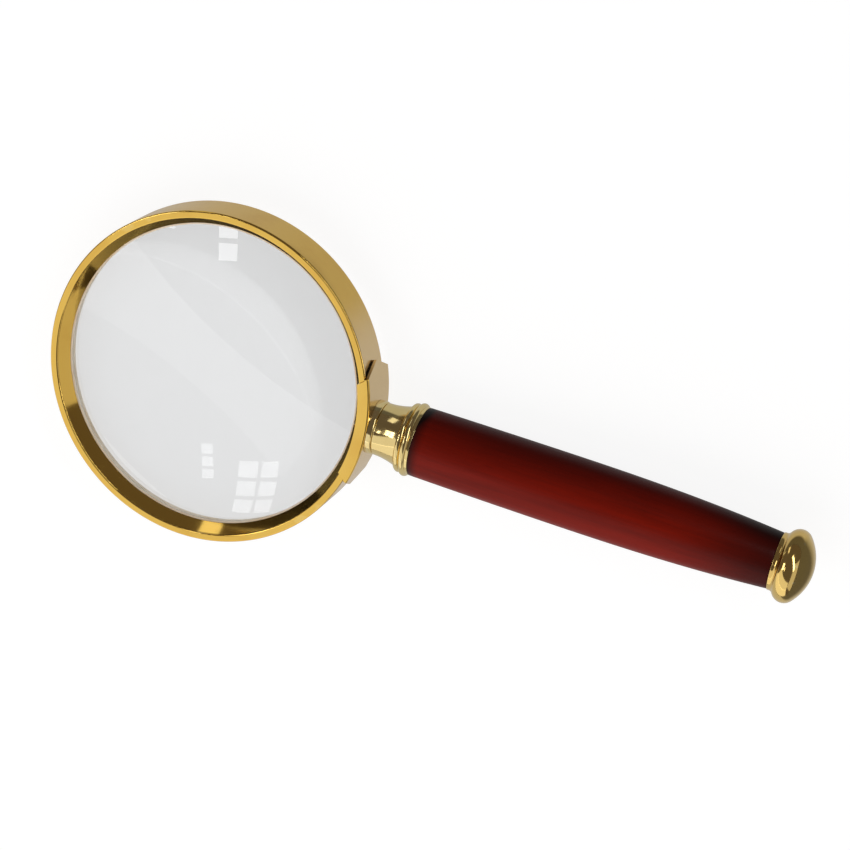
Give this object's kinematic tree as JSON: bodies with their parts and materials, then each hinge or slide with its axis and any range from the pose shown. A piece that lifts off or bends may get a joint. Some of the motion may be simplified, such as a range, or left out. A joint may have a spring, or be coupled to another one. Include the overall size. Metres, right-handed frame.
{
  "type": "hand magnifier",
  "caption": "Handheld magnifier with a biconvex lens in a split metal rim, a saddle over the split, and a turned wooden handle that screws onto a neck stud.",
  "frame": {"origin": "centre of the lens, on its axis, halfway between its two faces", "axes": "+X from the lens along the handle, +Z along the lens's axis out of the front face"},
  "size_m": [0.2004, 0.086, 0.0188],
  "materials": {
    "glass": "clear polished crown glass with a finely ground edge",
    "strip": "thin cream plastic strip",
    "gilt": "polished gold plating with a satin outer band",
    "fittings": "polished pale gold plating on turned brass",
    "steel": "bright zinc-plated steel",
    "lacquer": "turned hardwood under a deep red gloss lacquer that darkens at the ends"
  },
  "bodies": {
    "head": {"lens": "glass", "lens_gasket": "strip", "rim": "gilt", "saddle": "gilt", "backing_plate": "steel", "neck_stud": "steel"},
    "collar": {"neck_collar": "fittings"},
    "handle": {"ferrule": "fittings", "tie_rod": "steel", "wooden_handle": "lacquer", "end_cap": "fittings"}
  },
  "joints": [
    {"name": "collar_slide", "type": "slide", "parent": "head", "child": "collar", "axis": [1, 0, 0], "range_m": [0, 0.0056]},
    {"name": "handle_turn", "type": "hinge", "parent": "collar", "child": "handle", "pos_m": [0.0457, 0, 0], "axis": [1, 0, 0], "range_deg": [0, 2880]}
  ],
  "couplings": [
    {"joint": "handle_turn", "follows": "collar_slide", "rad_per_m": 8976}
  ]
}
